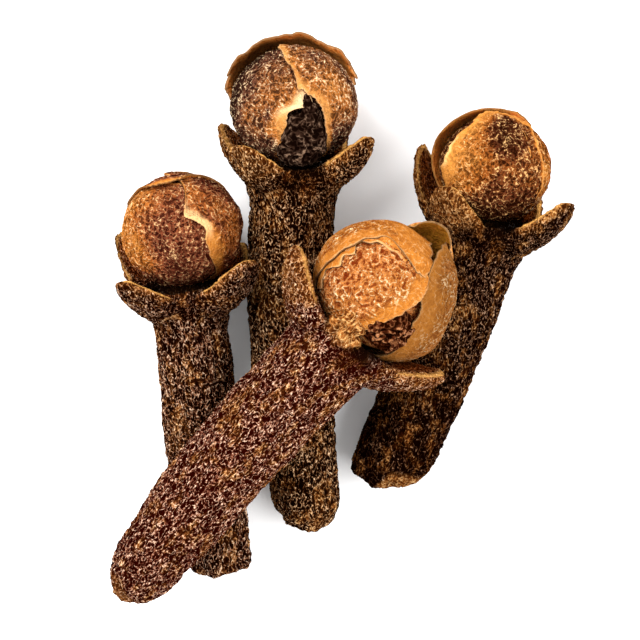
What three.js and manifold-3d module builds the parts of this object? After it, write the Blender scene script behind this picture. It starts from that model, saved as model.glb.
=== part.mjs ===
// Four whole cloves, lying as a small loose heap on a flat table.
//
// A clove is the dried bud of the clove tree. Its stem (the hypanthium) is a stout, faintly four-sided
// stalk, broken off at the foot. At its top it widens into a shallow cup that carries four thick, pointed
// sepals. On the cup sits the round bud head: four papery petals folded over each other round a knot of
// stamens. Three of the cloves lie on the table, on their foot and their two rear sepals. The fourth lies
// across the stems of two of them, with its head leaning on the third.
//
// Lengths are in millimetres, angles in degrees, +Z is up and the table is at z = 0.
// The origin is on the table, under the middle of the heap's box.

import * as THREE from "three";
import { mergeVertices } from "three/addons/utils/BufferGeometryUtils.js";
import Module from "manifold-3d";

const wasm = await Module();
wasm.setup();

// ---------------------------------------------------------------------------------------------------
// Driving dimensions
// ---------------------------------------------------------------------------------------------------

// Each clove has its own frame. Its origin is the middle of the cup, z runs along the clove towards the
// tip of the bud, x points up from the table and y to the side. A compass angle "at" goes round z,
// with 0 up, +90 to the right and -90 to the left, seen from above with the bud away from you.
//
// cup      where the middle of the cup is, in the heap's frame
// heading  compass direction of the bud, clockwise from +Y; rise lifts the bud's end
// stem     length; radius at the neck, the belly and the foot; cap is the rounded length at the foot
//          and blunt how square it is; lean and bow carry the foot and the middle towards +y
// bud      radius, half height, height of its centre over the cup
// sepals   at, length, out: the slope where it leaves the cup, tip: the slope at its tip
// petals   at, half: half of the angle it spans, from and to: the arc over the bud from its foot,
//          lift: how far it stands off the bud, at its left edge, right edge and tip
const CLOVES = {
  left: {
    cup: [-5.47, 0.97, 2.27],
    heading: -6.7,
    rise: 7.5,
    stem: { length: 10.2, neck: 1.24, belly: 1.36, foot: 1.06, cap: 0.6, blunt: 3.4, lean: 0, bow: -0.1 },
    bud: { radius: 2.06, height: 1.94, centre: 2.2 },
    sepals: [
      { at: -50, length: 2.75, out: 22, tip: 52 },
      { at: 47, length: 2.8, out: 20, tip: 56 },
      { at: 138, length: 3.0, out: 30, tip: 62 },
      { at: -134, length: 3.3, out: 30, tip: 66 },
    ],
    petals: [
      { at: 178, half: 62, from: -62, to: 108, lift: [0.03, 0.03, 0.06] },
      { at: -28, half: 64, from: -66, to: 70, lift: [0.06, 0.02, 0.02] },
      { at: 76, half: 54, from: -62, to: 100, lift: [0.2, 0.06, 0.12] },
    ],
  },
  top: {
    cup: [-1.73, 5.39, 2.305],
    heading: -2.5,
    rise: 6,
    stem: { length: 13, neck: 1.48, belly: 1.42, foot: 1.14, cap: 1.4, blunt: 2.1, lean: 0, bow: -0.4 },
    bud: { radius: 2.12, height: 1.94, centre: 2.2 },
    sepals: [
      { at: -42, length: 2.5, out: 30, tip: 56 },
      { at: 60, length: 3, out: 26, tip: 54 },
      { at: 146, length: 2.8, out: 34, tip: 62 },
      { at: -128, length: 3.6, out: 28, tip: 58 },
    ],
    petals: [
      { at: -178, half: 68, from: -58, to: 84, lift: [0.04, 0.04, 0.46] },
      { at: -62, half: 56, from: -60, to: 76, lift: [0.05, 0.04, 0.04] },
      { at: 86, half: 56, from: -60, to: 88, lift: [0.2, 0.04, 0.08] },
    ],
    stamens: { at: 14, along: -24, width: 0.74, length: 1.15, depth: 0.62 },
  },
  right: {
    cup: [5.09, 3.27, 2.27],
    heading: 9,
    rise: 6.5,
    stem: { length: 9.7, neck: 1.46, belly: 1.52, foot: 1.36, cap: 1.1, blunt: 2.4, lean: -2.2, bow: 0.05 },
    bud: { radius: 1.98, height: 1.9, centre: 2.18 },
    sepals: [
      { at: -40, length: 2.4, out: 40, tip: 60 },
      { at: 60, length: 3.3, out: 26, tip: 62 },
      { at: 146, length: 2.8, out: 34, tip: 64 },
      { at: -126, length: 4, out: 16, tip: 86 },
    ],
    petals: [
      { at: -146, half: 74, from: -58, to: 84, lift: [0, 0.42, 0.12] },
      { at: 96, half: 50, from: -60, to: 84, lift: [0.04, 0.06, 0.06] },
      { at: 4, half: 60, from: -64, to: 78, lift: [0.12, 0.12, 0.04] },
    ],
  },
  front: {
    cup: [0.03, -0.63, 4.69],
    heading: 40.6,
    rise: 4.55,
    stem: { length: 12.2, neck: 1.62, belly: 1.5, foot: 1.2, cap: 1.8, blunt: 1.9, lean: 0, bow: -0.25 },
    bud: { radius: 2.38, height: 2.16, centre: 2.15 },
    sepals: [
      { at: -88, length: 3.4, out: 24, tip: 50 },
      { at: 0, length: 1.6, out: 50, tip: 74 },
      { at: 92, length: 3.1, out: 28, tip: 50 },
      { at: 180, length: 2.6, out: 32, tip: 54 },
    ],
    petals: [
      { at: 178, half: 60, from: -60, to: 96, lift: [0.05, 0.05, 0.1] },
      { at: -82, half: 60, from: -60, to: 90, lift: [0.3, 0.34, 0.16] },
      { at: -12, half: 56, from: -50, to: 72, lift: [0.06, 0.14, 0.04] },
      { at: 100, half: 42, from: -64, to: 92, lift: [0.22, 0.1, 0.5] },
    ],
    stamens: { at: 30, along: -20, width: 0.8, length: 0.8, depth: 0.6 },
  },
};

const CUP = { radius: 1.85, flare: 1.4, lip: 0.12 }; // the stem widens into the cup over the flare's length
const SEPAL = { foot: 0.9, below: 0.72, width: 1.3, thick: 0.42, taper: 0.42, hollow: 0.8 };
const PETAL = { thick: 0.26, tip: 0.34 };
const FIT = { gap: 0.28, pocket: 0.1 }; // clear space between the bud and the cup, and round the stamens
const SIDED = { four: 0.045, flat: 0.05 }; // how four-sided and how flattened a stem is
const SLIVER = 0.012; // details finer than this are smoothed away
const TABLE = 30; // width of the block that cuts the small flat spots a clove rests on

const STEM_SIDES = 18;
const STEM_RINGS = 12;
const SEPAL_SIDES = 10;
const SEPAL_RINGS = 7;
const BUD_SIDES = 20;
const BUD_RINGS = 12;
const PETAL_ACROSS = 6;
const PETAL_ALONG = 7;

const radians = THREE.MathUtils.degToRad;
const mix = THREE.MathUtils.lerp;

// ---------------------------------------------------------------------------------------------------
// Solids: a geometry with its shared corners merged, which can be joined and cut
// ---------------------------------------------------------------------------------------------------

function solidOf(geometry) {
  const bare = new THREE.BufferGeometry();
  bare.setAttribute("position", geometry.getAttribute("position"));
  bare.setIndex(geometry.getIndex());
  const merged = mergeVertices(bare, 1e-4);
  return new wasm.Manifold(
    new wasm.Mesh({
      numProp: 3,
      vertProperties: merged.getAttribute("position").array,
      triVerts: new Uint32Array(merged.getIndex().array),
    }),
  );
}

// The solid's largest body, without the scraps and the slivers that a cut can leave.
function largestBody(solid) {
  const bodies = solid.simplify(SLIVER).decompose();
  return bodies.reduce((best, body) => (body.volume() > best.volume() ? body : best));
}

function geometryOf(solid) {
  const { numProp, numVert, vertProperties, triVerts } = solid.getMesh();
  const corners = new Float32Array(numVert * 3);
  for (let i = 0; i < numVert; i++) {
    corners.set(vertProperties.subarray(i * numProp, i * numProp + 3), i * 3);
  }
  const geometry = new THREE.BufferGeometry();
  geometry.setAttribute("position", new THREE.BufferAttribute(corners, 3));
  geometry.setIndex(new THREE.BufferAttribute(triVerts, 1));
  geometry.computeVertexNormals();
  return geometry;
}

// Moves every corner of a geometry to where place(corner) puts it.
function reshape(geometry, place) {
  const corners = geometry.getAttribute("position");
  const corner = new THREE.Vector3();
  for (let i = 0; i < corners.count; i++) {
    corner.fromBufferAttribute(corners, i);
    const moved = place(corner);
    corners.setXYZ(i, moved.x, moved.y, moved.z);
  }
  return geometry;
}

// ---------------------------------------------------------------------------------------------------
// Stem: a lathe round the clove's axis, then made four-sided and bent
// ---------------------------------------------------------------------------------------------------

// Radius at a depth under the cup: it swells out to the cup at the top and rounds off at the foot.
function stemRadius(stem, depth) {
  const along = THREE.MathUtils.clamp(depth / stem.length, 0, 1);
  const upper = mix(stem.neck, stem.belly, THREE.MathUtils.smoothstep(along, 0.1, 0.5));
  const body = mix(upper, stem.foot, THREE.MathUtils.smoothstep(along, 0.5, 1));
  const flare = Math.max(0, 1 - depth / CUP.flare);
  const intoCap = Math.max(0, (depth - (stem.length - stem.cap)) / stem.cap);
  const rounding = Math.max(0, 1 - intoCap ** stem.blunt) ** (1 / stem.blunt);
  return mix(body, CUP.radius, flare ** 1.6) * rounding;
}

function stemGeometry(stem) {
  const profile = [new THREE.Vector2(0, -stem.length)];
  for (let ring = 1; ring < STEM_RINGS; ring++) {
    // rings lie closer together at the foot and at the cup
    const share = ring / STEM_RINGS;
    const along = share - 0.09 * Math.sin(2 * Math.PI * share);
    const depth = stem.length * (1 - along);
    profile.push(new THREE.Vector2(stemRadius(stem, depth), -depth));
  }
  profile.push(new THREE.Vector2(CUP.radius, 0));
  profile.push(new THREE.Vector2(CUP.radius * 0.8, CUP.lip));
  profile.push(new THREE.Vector2(0, 0));
  const lathe = new THREE.LatheGeometry(profile, STEM_SIDES).rotateX(Math.PI / 2);
  return reshape(lathe, (corner) => {
    const round = Math.atan2(corner.y, corner.x);
    const sided = 1 + SIDED.four * Math.cos(4 * round + 0.4);
    const along = THREE.MathUtils.clamp(-corner.z / stem.length, 0, 1);
    const sideways = stem.lean * along ** 1.05 + stem.bow * Math.sin(Math.PI * along);
    return corner.set(corner.x * sided * (1 - SIDED.flat), corner.y * sided + sideways, corner.z);
  });
}

// ---------------------------------------------------------------------------------------------------
// Sepal: a thick flap whose middle line is an arc that leaves the cup and turns up towards the bud
// ---------------------------------------------------------------------------------------------------

function sepalGeometry(sepal) {
  const at = radians(sepal.at);
  const start = radians(sepal.out);
  const turn = radians(sepal.tip) - start;
  const outwards = new THREE.Vector3(Math.cos(at), Math.sin(at), 0);
  const sideways = new THREE.Vector3(-Math.sin(at), Math.cos(at), 0);
  const upwards = new THREE.Vector3(0, 0, 1);
  const unit = new THREE.SphereGeometry(1, SEPAL_SIDES, SEPAL_RINGS).rotateX(Math.PI / 2);
  return reshape(unit, (corner) => {
    const along = (1 + corner.z) / 2;
    const ring = Math.sqrt(Math.max(0, 1 - corner.z ** 2));
    const slope = start + turn * along;
    const out = SEPAL.foot + (sepal.length * (Math.sin(slope) - Math.sin(start))) / turn;
    const up = -SEPAL.below + (sepal.length * (Math.cos(start) - Math.cos(slope))) / turn;
    const fullness = ring > 0 ? ring ** -0.35 : 0; // keeps the flap broad almost to its ends
    const across = corner.y * fullness * SEPAL.width * (1 - SEPAL.taper * along);
    const hollow = (SEPAL.hollow * across ** 2) / (2 * Math.max(out, CUP.radius));
    const through = -corner.x * fullness * SEPAL.thick * (1 - 0.3 * along) + hollow;
    return new THREE.Vector3()
      .addScaledVector(outwards, out - through * Math.sin(slope))
      .addScaledVector(sideways, across)
      .addScaledVector(upwards, up + through * Math.cos(slope));
  });
}

// ---------------------------------------------------------------------------------------------------
// Bud head: a rounded core with petals folded over it
// ---------------------------------------------------------------------------------------------------

// How far the core's surface is from its centre, in a direction.
function budReach(bud, direction) {
  const level = Math.hypot(direction.x, direction.y) / bud.radius;
  return 1 / Math.hypot(level, direction.z / bud.height);
}

// A direction from the bud's centre: over is the arc from its waist over the top in the petal's own
// meridian, across is the arc out of that meridian.
function petalDirection(at, over, across) {
  const flat = Math.cos(across) * Math.cos(over);
  return new THREE.Vector3(
    flat * Math.cos(at) - Math.sin(across) * Math.sin(at),
    flat * Math.sin(at) + Math.sin(across) * Math.cos(at),
    Math.cos(across) * Math.sin(over),
  );
}

function coreGeometry(bud, grow = 0) {
  return new THREE.SphereGeometry(1, BUD_SIDES, BUD_RINGS)
    .rotateX(Math.PI / 2)
    .scale(bud.radius + grow, bud.radius + grow, bud.height + grow)
    .translate(0, 0, bud.centre);
}

function petalGeometry(bud, petal) {
  const sheet = new THREE.BoxGeometry(2, 2, 1, PETAL_ACROSS, PETAL_ALONG, 1);
  const [left, right, tip] = petal.lift;
  return reshape(sheet, (corner) => {
    const along = (corner.y + 1) / 2;
    // an ovate outline: narrow at its foot, widest past the middle and round at the tip
    const widening = 0.45 + 0.55 * THREE.MathUtils.smoothstep(along, 0, 0.45);
    const closing = Math.sqrt(1 - THREE.MathUtils.smoothstep(along, 0.55, 1.06) ** 2);
    const width = widening * (PETAL.tip + (1 - PETAL.tip) * closing);
    const over = radians(mix(petal.from, petal.to, along));
    const across = corner.x * width * radians(petal.half);
    const direction = petalDirection(radians(petal.at), over, across);
    const lift = mix(left, right, (corner.x + 1) / 2) * Math.sin(Math.PI * Math.min(1, along * 2.4) * 0.5);
    const stand = lift + tip * THREE.MathUtils.smoothstep(along, 0.4, 1);
    const reach = budReach(bud, direction) + stand + (corner.z - 0.5) * PETAL.thick;
    return direction.multiplyScalar(reach).add(new THREE.Vector3(0, 0, bud.centre));
  });
}

// The knot of stamens that shows between two petals, with grow added all round it for its pocket.
function stamenGeometry(bud, stamens, grow) {
  const at = radians(stamens.at);
  const facing = petalDirection(at, radians(stamens.along), 0);
  const middle = facing.clone().multiplyScalar(budReach(bud, facing) - 0.5 * stamens.depth);
  const sideways = new THREE.Vector3(-Math.sin(at), Math.cos(at), 0);
  const frame = new THREE.Matrix4().makeBasis(facing, sideways, facing.clone().cross(sideways));
  return new THREE.SphereGeometry(1, 12, 8)
    .scale(stamens.depth + grow, stamens.width + grow, stamens.length + grow)
    .applyMatrix4(frame)
    .translate(middle.x, middle.y, middle.z + bud.centre);
}

// ---------------------------------------------------------------------------------------------------
// One clove: its frame, its stem with sepals, its bud head and, where they show, its stamens
// ---------------------------------------------------------------------------------------------------

const STEM_BROWN = new THREE.MeshStandardMaterial({ color: 0x5c3c2a, roughness: 0.72, metalness: 0 });
const BUD_TAN = new THREE.MeshStandardMaterial({ color: 0xb9773f, roughness: 0.6, metalness: 0 });
const STAMEN_BROWN = new THREE.MeshStandardMaterial({ color: 0x4a2c1f, roughness: 0.65, metalness: 0 });

function cloveGroup(name, clove) {
  const heading = radians(clove.heading);
  const rise = radians(clove.rise);
  const bud = new THREE.Vector3(
    Math.sin(heading) * Math.cos(rise),
    Math.cos(heading) * Math.cos(rise),
    Math.sin(rise),
  );
  const side = new THREE.Vector3(Math.cos(heading), -Math.sin(heading), 0);
  const group = new THREE.Group();
  group.position.set(...clove.cup);
  group.quaternion.setFromRotationMatrix(new THREE.Matrix4().makeBasis(side.clone().cross(bud), side, bud));
  group.updateMatrixWorld(true);

  const table = new THREE.BoxGeometry(TABLE, TABLE, TABLE)
    .translate(0, 0, -TABLE / 2)
    .applyMatrix4(group.matrixWorld.clone().invert());
  let stem = solidOf(stemGeometry(clove.stem));
  for (const sepal of clove.sepals) {
    stem = stem.add(solidOf(sepalGeometry(sepal)));
  }
  stem = stem.subtract(solidOf(coreGeometry(clove.bud, FIT.gap))).subtract(solidOf(table));

  let head = solidOf(coreGeometry(clove.bud));
  for (const petal of clove.petals) {
    head = head.add(solidOf(petalGeometry(clove.bud, petal)));
  }
  if (clove.stamens) {
    head = head.subtract(solidOf(stamenGeometry(clove.bud, clove.stamens, FIT.pocket)));
    const knot = new THREE.Mesh(stamenGeometry(clove.bud, clove.stamens, 0), STAMEN_BROWN);
    knot.name = `${name}_stamens`;
    group.add(knot);
  }

  const stemMesh = new THREE.Mesh(geometryOf(largestBody(stem)), STEM_BROWN);
  stemMesh.name = `${name}_stem`;
  const budMesh = new THREE.Mesh(geometryOf(largestBody(head)), BUD_TAN);
  budMesh.name = `${name}_bud`;
  group.add(stemMesh, budMesh);
  return group;
}

const heap = new THREE.Group();
for (const [name, clove] of Object.entries(CLOVES)) {
  heap.add(cloveGroup(name, clove));
}

export default heap;
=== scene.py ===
import bpy
import numpy as np
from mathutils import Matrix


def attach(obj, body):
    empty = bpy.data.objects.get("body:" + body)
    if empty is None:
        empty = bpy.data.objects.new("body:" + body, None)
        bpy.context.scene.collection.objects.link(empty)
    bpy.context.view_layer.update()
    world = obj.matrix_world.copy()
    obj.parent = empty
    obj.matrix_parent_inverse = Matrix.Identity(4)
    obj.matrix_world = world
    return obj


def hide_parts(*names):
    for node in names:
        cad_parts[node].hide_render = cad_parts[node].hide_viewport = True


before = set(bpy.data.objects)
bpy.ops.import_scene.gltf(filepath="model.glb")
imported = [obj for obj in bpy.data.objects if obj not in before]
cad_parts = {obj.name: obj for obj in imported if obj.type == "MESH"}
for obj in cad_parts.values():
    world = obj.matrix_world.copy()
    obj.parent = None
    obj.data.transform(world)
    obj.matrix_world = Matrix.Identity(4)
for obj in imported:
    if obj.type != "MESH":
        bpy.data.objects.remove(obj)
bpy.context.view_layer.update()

# ---------------------------------------------------------------------------------------------------
# Stems. A clove's stem is the dried base of the flower, faintly four-sided and snapped off at its foot.
# It widens into a shallow cup with four thick sepals that spread round the bud head. The skin shrank as it
# dried, into short winding wrinkles that are brown on top and nearly black between; the near-black is partly
# painted shade in the creases, and the palest tops are partly painted highlights. Painted shade also darkens
# the floor of the cup under the bud, the cup's throat and, on one clove, the foot.
# ---------------------------------------------------------------------------------------------------

MM = 0.001
CELL = 0.0528  # mesh size of a stem's skin, in millimetres

# Where the middle of each cup is, and which way its bud points: heading is the compass direction,
# clockwise from +Y, and rise lifts the bud's end. Lengths are in millimetres, angles in degrees.
CLOVES = {
    "left": {"cup": (-5.47, 0.97, 2.27), "heading": -6.7, "rise": 7.5},
    "top": {"cup": (-1.73, 5.39, 2.305), "heading": -2.5, "rise": 6},
    "right": {"cup": (5.09, 3.27, 2.27), "heading": 9, "rise": 6.5},
    "front": {"cup": (0.03, -0.63, 4.69), "heading": 40.6, "rise": 4.55},
}

# radius is taken at the neck, the belly and the foot; cap is the rounded length at the foot and blunt how
# square it is; lean and bow carry the foot and the middle sideways, and lip is how far the cup's rim stands
# up. cut is how much of the foot's end is bare and tan, and fade how much darker the skin is painted towards
# it, as painted shade where a neighbouring clove's shadow falls. throat is the compass angle at which the
# cup's rim is painted dark, as painted shade in the hollow under the bud, and stain how strongly.
STEMS = {
    "left": {
        "length": 10.2, "radius": (1.24, 1.36, 1.06), "cap": 0.6, "blunt": 3.4, "lean": 0, "bow": -0.1,
        "lip": 0.3, "cut": 0, "foot_shade": 0, "throat": 0, "throat_shade": 0.7,
    },
    "top": {
        "length": 13, "radius": (1.48, 1.42, 1.14), "cap": 1.4, "blunt": 2.1, "lean": 0, "bow": -0.4,
        "lip": 0.15, "cut": 0.12, "foot_shade": 0, "throat": 10, "throat_shade": 1.7,
    },
    "right": {
        "length": 9.7, "radius": (1.46, 1.52, 1.36), "cap": 1.1, "blunt": 2.4, "lean": -2.2, "bow": 0.05,
        "lip": 0.3, "cut": 0.6, "foot_shade": 0.9, "throat": 8, "throat_shade": 1.1,
    },
    "front": {
        "length": 12.2, "radius": (1.62, 1.5, 1.2), "cap": 1.8, "blunt": 1.9, "lean": 0, "bow": -0.25,
        "lip": 0.35, "cut": 0.35, "foot_shade": 0, "throat": 26, "throat_shade": 1.6,
    },
}
# flare is how deep under the cup the stem widens, and moat the depth of the furrow inside its lip. four is
# how four-sided a stem is, and flat how much flatter than wide, as shares of its radius.
CUP = {"radius": 1.85, "flare": 1.4, "moat": 0.1}
SIDED = {"four": 0.045, "flat": 0.05}

# at is the compass angle round the cup, with 0 up and 90 to the right; out and tip are the slopes at the
# two ends; width and thick are half sizes at the root. gilt is how bare and golden the edge and the inner
# face are, where they aren't wholly so, tan how far the outer face has lost its dark skin, and crumbled
# how broken it is.
SEPALS = {
    "left": (
        {"at": -50, "length": 2.65, "out": 22, "tip": 54, "width": 1.5, "thick": 0.42},
        {"at": 47, "length": 2.95, "out": 22, "tip": 58, "width": 1.5, "thick": 0.42},
        {"at": 138, "length": 3.0, "out": 30, "tip": 62, "width": 1.3, "thick": 0.42},
        {"at": -132, "length": 3.75, "out": 37, "tip": 70, "width": 1.1, "thick": 0.26, "gilt": 0.6},
    ),
    "top": (
        {"at": -42, "length": 2.7, "out": 28, "tip": 58, "width": 1.3, "thick": 0.46, "tan": 0.2},
        {"at": 60, "length": 3, "out": 26, "tip": 54, "width": 1.3, "thick": 0.5},
        {"at": 146, "length": 2.8, "out": 34, "tip": 62, "width": 1.3, "thick": 0.42},
        {"at": -112, "length": 3.1, "out": 36, "tip": 70, "width": 1.3, "thick": 0.46, "tan": 0.15,
         "gilt": 0.4},
    ),
    "right": (
        {"at": -40, "length": 2.8, "out": 38, "tip": 64, "width": 1.4, "thick": 0.42, "tan": 0.4},
        {"at": 60, "length": 3.3, "out": 26, "tip": 62, "width": 1.4, "thick": 0.46},
        {"at": 146, "length": 2.8, "out": 34, "tip": 64, "width": 1.3, "thick": 0.42},
        {"at": -112, "length": 4.05, "out": 29, "tip": 90, "width": 1.5, "thick": 0.36, "tan": 0.4,
         "gilt": 0.6},
    ),
    "front": (
        {"at": -74, "length": 3.5, "out": 26, "tip": 54, "width": 1.8, "thick": 0.62, "tan": 0.35,
         "gilt": 0.6},
        {"at": -3, "length": 2.4, "out": 40, "tip": 80, "width": 0.74, "thick": 0.42, "tan": 1.1,
         "crumbled": 1},
        {"at": 99, "length": 3.4, "out": 25, "tip": 48, "width": 1.6, "thick": 0.62, "tan": 0.2, "gilt": 0.7},
        {"at": 180, "length": 2.6, "out": 32, "tip": 54, "width": 1.3, "thick": 0.42},
    ),
}
# Every sepal's root is foot out from the axis and below under the cup; taper is how much narrower the tip
# is, and hollow how closely the flap curls round the bud.
SEPAL = {"foot": 0.9, "below": 0.72, "taper": 0.42, "hollow": 0.8}

# The bud head's radius, its half height and the height of its middle over the cup, and how fine the
# wrinkles of its finish are.
BUDS = {
    "left": {"radius": 2.06, "height": 1.94, "centre": 2.2, "fine": 5.0},
    "top": {"radius": 2.12, "height": 2.02, "centre": 2.27, "fine": 5.2},
    "right": {"radius": 1.98, "height": 1.9, "centre": 2.18, "fine": 5.0},
    "front": {"radius": 2.38, "height": 2.16, "centre": 2.15, "fine": 3.9},
}


def into_heap(points, clove):
    """Carries points from a clove's own frame, in millimetres, into the heap, in metres.

    In a clove's frame the origin is the middle of its cup, z runs to the tip of the bud, x points up from
    the table and y to the right. Nothing goes below the table: what would is pressed flat on it.
    """
    heading, rise = np.radians([CLOVES[clove]["heading"], CLOVES[clove]["rise"]])
    bud = np.array([np.sin(heading) * np.cos(rise), np.cos(heading) * np.cos(rise), np.sin(rise)])
    side = np.array([np.cos(heading), -np.sin(heading), 0])
    placed = (points @ np.array([np.cross(side, bud), side, bud]) + CLOVES[clove]["cup"]) * MM
    placed[:, 2] = np.maximum(placed[:, 2], 0)
    return placed


def step_up(low, high, value):
    """Goes smoothly from 0 at low to 1 at high."""
    share = np.clip((value - low) / (high - low), 0, 1)
    return share * share * (3 - 2 * share)


def noise(points, seed):
    """Gradient noise, from about -1 to 1.

    Each whole-numbered corner of space has a random slope. The heights that the eight slopes round a
    point give there are blended by a quintic step.
    """
    corner = np.floor(points).astype(np.int64)
    inside = points - corner
    blend = inside**3 * (inside * (inside * 6 - 15) + 10)
    total = np.zeros(len(points))
    for shift in np.ndindex(2, 2, 2):
        key = (corner + shift) @ np.array([73856093, 19349663, 83492791]) + seed * 668265263
        key = (key ^ (key >> 15)) * 2246822519 & 0xFFFFFFFF
        key = (key ^ (key >> 13)) * 3266489917 & 0xFFFFFFFF
        key ^= key >> 16
        slopes = np.stack([key & 1023, key >> 10 & 1023, key >> 20 & 1023], -1) / 511.5 - 1
        weight = np.prod(np.where(np.array(shift) > 0, blend, 1 - blend), -1)
        total += weight * np.sum(slopes * (inside - shift), -1)
    return total * 1.6


def wrinkles(points, pitch, stretch, seed):
    """Short winding ridges, from 0 in the valleys to 1 on top, a little less than a pitch apart.

    A ridge runs where bent noise crosses zero, and a second noise breaks it into short lengths. Stretch
    is how much longer than wide they are, along z.
    """
    spots = points / pitch / (1, 1, stretch)
    bend = np.stack([noise(spots * 0.6 + 31 * axis, seed + axis) for axis in range(3)], -1)
    crest = 1 - np.abs(noise(spots + 0.7 * bend, seed + 3)) / 0.34
    broken = 0.35 + 0.65 * step_up(-0.3, 0.15, noise(spots * 0.9 + 50, seed + 4))
    return np.clip(crest, 0, 1) * broken


def grid(rows, columns, wrapped=False):
    """Two even runs from 0 to 1, up the rows and along the columns; a wrapped row stops short of 1."""
    up, along = np.meshgrid(
        np.linspace(0, 1, rows), np.linspace(0, 1, columns, endpoint=not wrapped), indexing="ij"
    )
    return up.ravel(), along.ravel()


def grid_faces(rows, columns, wrapped=False):
    """Corner numbers of a grid's quads, facing the side where columns run right and rows run up."""
    numbers = np.arange(rows * columns).reshape(rows, columns)
    if wrapped:
        numbers = np.hstack([numbers, numbers[:, :1]])
    corners = numbers[:-1, :-1], numbers[:-1, 1:], numbers[1:, 1:], numbers[1:, :-1]
    return np.stack(corners, -1).reshape(-1, 4)


def joined(surfaces):
    """Puts surfaces, each a pair of points and quads, into one pair."""
    starts = np.cumsum([0] + [len(points) for points, _ in surfaces[:-1]])
    quads = [faces + start for (_, faces), start in zip(surfaces, starts)]
    return np.concatenate([points for points, _ in surfaces]), np.concatenate(quads)


def bare_mesh(name, points, quads):
    """A mesh with those points and quads, shaded smooth."""
    mesh = bpy.data.meshes.new(name)
    mesh.vertices.add(len(points))
    mesh.vertices.foreach_set("co", points.astype(np.float32).ravel())
    mesh.loops.add(quads.size)
    mesh.loops.foreach_set("vertex_index", quads.astype(np.int32).ravel())
    mesh.polygons.add(len(quads))
    mesh.polygons.foreach_set("loop_start", np.arange(0, quads.size, 4, dtype=np.int32))
    mesh.polygons.foreach_set("use_smooth", np.ones(len(quads), bool))
    mesh.update(calc_edges=True)
    return mesh


def vertex_rows(mesh, what):
    """A mesh's vertex places ("co") or normals ("normal"), a row for each."""
    rows = np.empty(len(mesh.vertices) * 3, np.float32)
    mesh.vertices.foreach_get(what, rows)
    return rows.reshape(-1, 3).astype(float)


def put_places(mesh, points):
    mesh.vertices.foreach_set("co", points.astype(np.float32).ravel())
    mesh.update()


def mark(mesh, name, values):
    """Stores a number or a vector for each vertex as a named attribute that the finishes read."""
    kind, field = ("FLOAT_VECTOR", "vector") if values.ndim == 2 else ("FLOAT", "value")
    attribute = mesh.attributes.new(name, kind, "POINT")
    attribute.data.foreach_set(field, values.astype(np.float32).ravel())


def one_skin(surfaces):
    """Fuses closed surfaces into one skin with an even mesh, by a voxel remesh in millimetres."""
    holder = bpy.data.objects.new("draft", bare_mesh("draft", *joined(surfaces)))
    bpy.context.scene.collection.objects.link(holder)
    remesh = holder.modifiers.new("skin", "REMESH")
    remesh.mode = "VOXEL"
    remesh.voxel_size = CELL
    remesh.use_smooth_shade = True
    fused = holder.evaluated_get(bpy.context.evaluated_depsgraph_get())
    mesh = bpy.data.meshes.new_from_object(fused)
    bpy.data.objects.remove(holder)
    return mesh


def relax(mesh, rounds):
    """Evens a mesh out: in each round every vertex goes halfway to the middle of its neighbours."""
    points = vertex_rows(mesh, "co")
    edges = np.empty(len(mesh.edges) * 2, np.int32)
    mesh.edges.foreach_get("vertices", edges)
    one, other = edges.reshape(-1, 2).T
    ends, far = np.concatenate([one, other]), np.concatenate([other, one])
    count = np.bincount(ends, minlength=len(points))
    for _ in range(rounds):
        sums = [np.bincount(ends, points[far, axis], len(points)) for axis in range(3)]
        points = (points + np.stack(sums, -1) / count[:, None]) / 2
    put_places(mesh, points)


def stem_radius(stem, depth):
    """Radius at a depth under the cup.

    It goes from the neck over the belly to the foot by two smooth steps, swells out to the cup at the top
    and rounds off at the foot.
    """
    neck, belly, foot = stem["radius"]
    along = np.clip(depth / stem["length"], 0, 1)
    upper = neck + (belly - neck) * step_up(0.1, 0.5, along)
    body = upper + (foot - upper) * step_up(0.5, 1, along)
    flare = np.maximum(0, 1 - depth / CUP["flare"]) ** 1.6
    into_cap = np.maximum(0, (depth - (stem["length"] - stem["cap"])) / stem["cap"])
    rounding = np.maximum(0, 1 - into_cap ** stem["blunt"]) ** (1 / stem["blunt"])
    return (body + (CUP["radius"] - body) * flare) * rounding


def stem_surface(stem, bud):
    """The stem as a profile turned round the z axis, then made four-sided and bent.

    The profile runs from the middle of the foot up to the cup's lip, down into a moat, and up again to
    a seat in the middle of the cup that follows the underside of the bud.
    """
    rows, columns = 200, 150
    share, turn = grid(rows, columns, wrapped=True)
    shaft = step_up(0, 1, np.clip(share / 0.8, 0, 1))
    depth = stem["length"] * (1 - shaft)
    radius = stem_radius(stem, depth)
    collar = np.clip((share - 0.8) / 0.2, 0, 1)
    inwards = CUP["radius"] * (1 - collar)
    under = bud["centre"] - bud["height"] * np.sqrt(1 - (np.minimum(inwards, 1.3) / bud["radius"]) ** 2)
    seat = step_up(1.35, 0.7, inwards)
    in_cup = share > 0.8
    rim = stem["lip"] * step_up(CUP["radius"], 1.78, inwards) * step_up(1.5, 1.7, inwards)
    moat = CUP["moat"] * step_up(1.8, 1.5, inwards)
    height = np.where(in_cup, rim + (under + 0.05) * seat - moat * (1 - seat), -depth)
    radius = np.where(in_cup, inwards, radius)
    turn = turn * 2 * np.pi
    sided = 1 + SIDED["four"] * np.cos(4 * turn + 0.4)
    along = np.clip(-height / stem["length"], 0, 1)
    sideways = stem["lean"] * along**1.05 + stem["bow"] * np.sin(np.pi * along)
    across = radius * sided * np.sin(turn) + sideways
    points = np.stack([radius * sided * np.cos(turn) * (1 - SIDED["flat"]), across, height], -1)
    return points, grid_faces(rows, columns, wrapped=True)


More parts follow.
